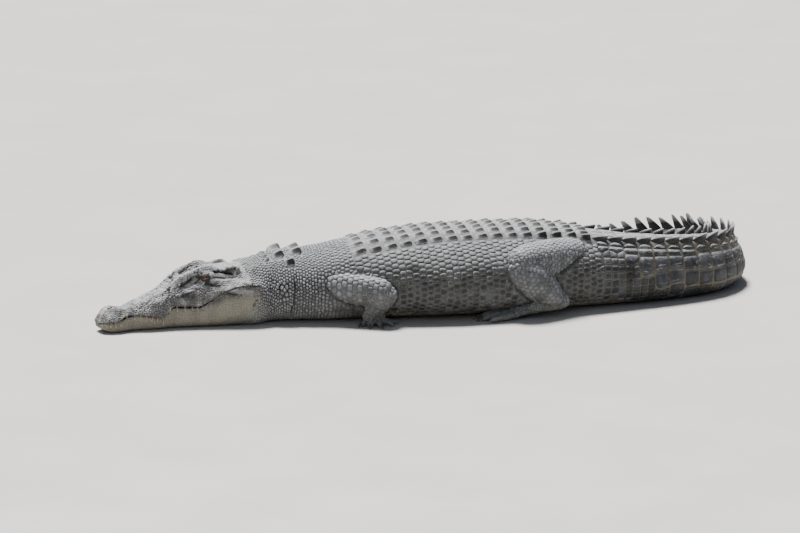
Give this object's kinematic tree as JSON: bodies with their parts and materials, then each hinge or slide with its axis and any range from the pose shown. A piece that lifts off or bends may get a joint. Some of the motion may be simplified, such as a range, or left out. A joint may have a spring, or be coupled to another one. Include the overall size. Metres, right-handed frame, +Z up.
{
  "type": "saltwater crocodile",
  "caption": "Life-size still model of a large crocodile lying on its belly, head low and tail swung round behind it, in separate named body parts",
  "frame": {"origin": "middle of the box in plan, on the floor the animal lies on", "axes": "+Z up; the trunk runs along X with the head towards -X; +Y is the animal's right side"},
  "size_m": [2.7298, 0.968, 0.3483],
  "materials": {
    "hide": "dry horny scales, dark grey with paler rims and blotches, semi-matt",
    "pale_hide": "smooth beige-grey jaw and cream belly skin, finely pitted, semi-matt",
    "eye": "wet glossy dark amber with an upright slit pupil",
    "claw": "dark horn, dull",
    "tooth": "brownish cream, slightly glossy"
  },
  "bodies": {
    "root": {"eye_L": "eye", "eye_R": "eye", "fore_claw_1_L": "claw", "fore_claw_1_R": "claw", "fore_claw_2_L": "claw", "fore_claw_2_R": "claw", "fore_claw_3_L": "claw", "fore_claw_3_R": "claw", "fore_hand_L": "hide", "fore_hand_R": "hide", "fore_lower_L": "hide", "fore_lower_R": "hide", "fore_upper_L": "hide", "fore_upper_R": "hide", "head": "hide", "hind_claw_1_L": "claw", "hind_claw_1_R": "claw", "hind_claw_2_L": "claw", "hind_claw_2_R": "claw", "hind_claw_3_L": "claw", "hind_claw_3_R": "claw", "hind_foot_L": "hide", "hind_foot_R": "hide", "hind_lower_L": "hide", "hind_lower_R": "hide", "hind_upper_L": "hide", "hind_upper_R": "hide", "lower_jaw": "pale_hide", "neck": "hide", "tail_1": "hide", "tail_2": "hide", "tail_3": "hide", "tail_4": "hide", "tail_5": "hide", "trunk_front": "hide", "trunk_middle": "hide", "trunk_rear": "hide"}
  },
  "joints": []
}
